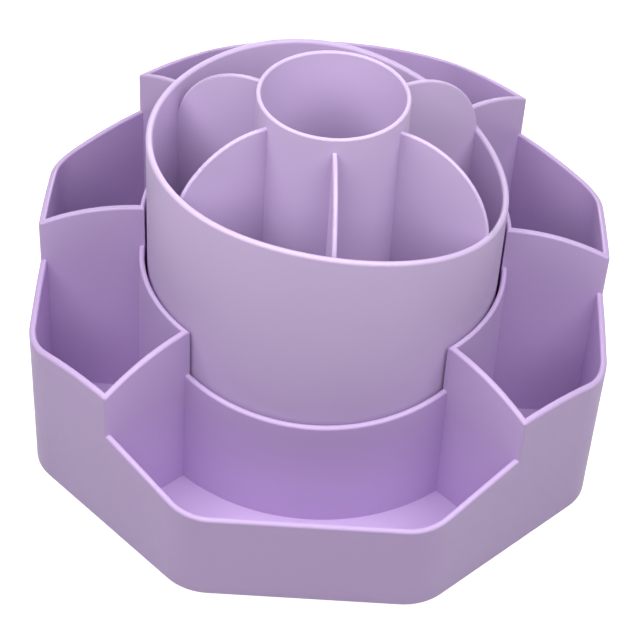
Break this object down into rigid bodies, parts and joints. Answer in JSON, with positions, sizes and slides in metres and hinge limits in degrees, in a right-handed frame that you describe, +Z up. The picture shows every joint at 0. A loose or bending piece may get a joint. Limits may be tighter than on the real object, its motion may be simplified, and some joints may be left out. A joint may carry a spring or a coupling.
{
  "type": "rotating pen holder",
  "caption": "Eight-sided desk organizer with stepped bays around a drum that turns, divided by radial vanes around a centre tube.",
  "frame": {"origin": "on the table, on the drum's axis", "axes": "+Z up along the drum's axis, -Y towards the low front bay, +X towards the right-hand bays"},
  "size_m": [0.1726, 0.1721, 0.1208],
  "materials": {
    "tray_plastic": "satin moulded lavender plastic",
    "drum_plastic": "satin moulded lavender plastic",
    "cover_plastic": "satin moulded lavender plastic",
    "race_acetal": "smooth white acetal",
    "cage_nylon": "natural nylon",
    "ball_steel": "ground and polished",
    "zinc_steel": "zinc plated",
    "pad_rubber": "matt non-slip rubber"
  },
  "bodies": {
    "tray": {"outer_tray": "tray_plastic", "foot_pads": "pad_rubber", "hub_bush": "race_acetal", "hub_cover": "cover_plastic", "lower_race": "race_acetal"},
    "cage": {"ball_cage": "cage_nylon", "bearing_balls": "ball_steel"},
    "drum": {"drum": "drum_plastic", "upper_race": "race_acetal", "retaining_washer": "zinc_steel", "centre_screw": "zinc_steel"}
  },
  "joints": [
    {"name": "drum_spin", "type": "hinge", "parent": "tray", "child": "drum", "pos_m": [0, 0, 0.007], "axis": [0, 0, 1], "continuous": true},
    {"name": "cage_spin", "type": "hinge", "parent": "tray", "child": "cage", "pos_m": [0, 0, 0.007], "axis": [0, 0, 1], "continuous": true}
  ],
  "couplings": [
    {"joint": "cage_spin", "follows": "drum_spin", "ratio": 0.5}
  ]
}
